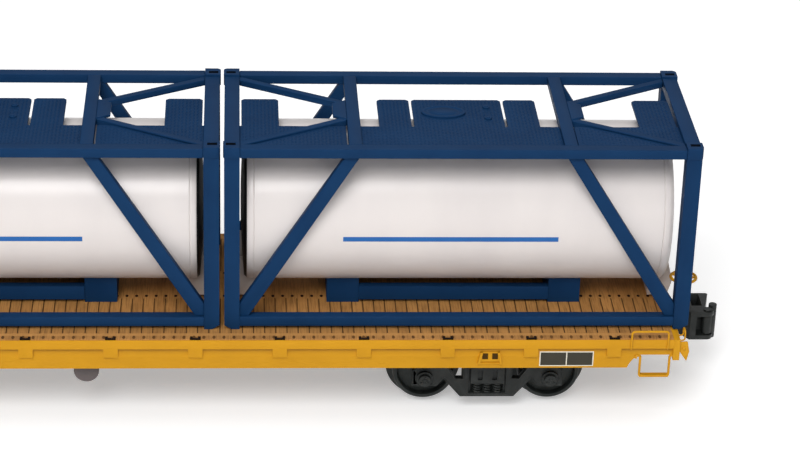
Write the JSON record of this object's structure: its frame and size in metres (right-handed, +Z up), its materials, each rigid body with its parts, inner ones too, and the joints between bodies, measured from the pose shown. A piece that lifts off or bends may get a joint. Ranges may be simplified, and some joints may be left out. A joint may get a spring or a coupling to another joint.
{
  "type": "model railway flatcar with tank containers",
  "caption": "Scale-model flatcar on swivelling roller-bearing trucks with knuckle couplers, carrying a row of loose framed tank containers.",
  "frame": {"origin": "middle of the car at the level of the wheel flanges' lowest points", "axes": "+X along the car to the brake-wheel end, +Y across it, +Z up"},
  "size_m": [0.404, 0.0646, 0.081],
  "materials": {
    "deck": "wood-brown moulded boards, drybrushed",
    "car_yellow": "satin yellow paint on moulded plastic",
    "underframe_black": "matt black",
    "tank_grey": "dark grey",
    "truck_black": "blackened die-cast metal",
    "wheel_black": "blackened turned metal",
    "container_blue": "satin dark blue",
    "tank_white": "satin off-white"
  },
  "bodies": {
    "car": {"deck_boards": "deck", "side_sill_near": "car_yellow", "side_sill_far": "car_yellow", "end_sill_a": "car_yellow", "end_sill_b": "car_yellow", "centre_sill": "underframe_black", "body_bolsters": "underframe_black", "kingpins": "underframe_black", "cross_bearers": "underframe_black", "brake_wheel": "car_yellow", "brake_staff": "car_yellow", "grab_irons": "car_yellow", "stirrup_steps": "car_yellow", "uncoupling_levers": "car_yellow", "end_grabs": "car_yellow", "air_reservoir": "tank_grey", "brake_cylinder": "tank_grey", "brake_valve": "underframe_black"},
    "truck_a": {"side_frame_near_a": "truck_black", "side_frame_far_a": "truck_black", "truck_bolster_a": "truck_black", "truck_springs_a": "truck_black", "coupler_a": "truck_black"},
    "coupler_knuckle_a": {"knuckle_a": "truck_black"},
    "axle_a_outer": {"wheelset_a_outer": "wheel_black"},
    "axle_a_inner": {"wheelset_a_inner": "wheel_black"},
    "truck_b": {"side_frame_near_b": "truck_black", "side_frame_far_b": "truck_black", "truck_bolster_b": "truck_black", "truck_springs_b": "truck_black", "coupler_b": "truck_black"},
    "coupler_knuckle_b": {"knuckle_b": "truck_black"},
    "axle_b_outer": {"wheelset_b_outer": "wheel_black"},
    "axle_b_inner": {"wheelset_b_inner": "wheel_black"},
    "container_1": {"corner_posts_1": "container_blue", "frame_rails_1": "container_blue", "side_braces_1": "container_blue", "top_braces_1": "container_blue", "tank_shell_1": "tank_white", "tank_saddles_1": "container_blue", "walkway_1": "container_blue", "manhole_1": "container_blue"},
    "container_2": {"corner_posts_2": "container_blue", "frame_rails_2": "container_blue", "side_braces_2": "container_blue", "top_braces_2": "container_blue", "tank_shell_2": "tank_white", "tank_saddles_2": "container_blue", "walkway_2": "container_blue", "manhole_2": "container_blue"},
    "container_3": {"corner_posts_3": "container_blue", "frame_rails_3": "container_blue", "side_braces_3": "container_blue", "top_braces_3": "container_blue", "tank_shell_3": "tank_white", "tank_saddles_3": "container_blue", "walkway_3": "container_blue", "manhole_3": "container_blue"}
  },
  "joints": [
    {"name": "truck_a_swivel", "type": "hinge", "parent": "car", "child": "truck_a", "pos_m": [0.13613, 0, 0.0166], "axis": [0, 0, 1], "range_deg": [-20, 20]},
    {"name": "knuckle_a_open", "type": "hinge", "parent": "truck_a", "child": "coupler_knuckle_a", "pos_m": [0.19908, -0.0055, 0.01775], "axis": [0, 0, 1], "range_deg": [-40, 0]},
    {"name": "axle_a_outer_spin", "type": "hinge", "parent": "truck_a", "child": "axle_a_outer", "pos_m": [0.1534, 0, 0.0103], "axis": [0, 1, 0], "continuous": true},
    {"name": "axle_a_inner_spin", "type": "hinge", "parent": "truck_a", "child": "axle_a_inner", "pos_m": [0.11886, 0, 0.0103], "axis": [0, 1, 0], "continuous": true},
    {"name": "truck_b_swivel", "type": "hinge", "parent": "car", "child": "truck_b", "pos_m": [-0.13613, 0, 0.0166], "axis": [0, 0, 1], "range_deg": [-20, 20]},
    {"name": "knuckle_b_open", "type": "hinge", "parent": "truck_b", "child": "coupler_knuckle_b", "pos_m": [-0.19908, 0.0055, 0.01775], "axis": [0, 0, 1], "range_deg": [-40, 0]},
    {"name": "axle_b_outer_spin", "type": "hinge", "parent": "truck_b", "child": "axle_b_outer", "pos_m": [-0.1534, 0, 0.0103], "axis": [0, 1, 0], "continuous": true},
    {"name": "axle_b_inner_spin", "type": "hinge", "parent": "truck_b", "child": "axle_b_inner", "pos_m": [-0.11886, 0, 0.0103], "axis": [0, 1, 0], "continuous": true},
    {"name": "container_1_lift", "type": "slide", "parent": "car", "child": "container_1", "axis": [0, 0, 1], "range_m": [0, 0.06]},
    {"name": "container_2_lift", "type": "slide", "parent": "car", "child": "container_2", "axis": [0, 0, 1], "range_m": [0, 0.06]},
    {"name": "container_3_lift", "type": "slide", "parent": "car", "child": "container_3", "axis": [0, 0, 1], "range_m": [0, 0.06]}
  ]
}
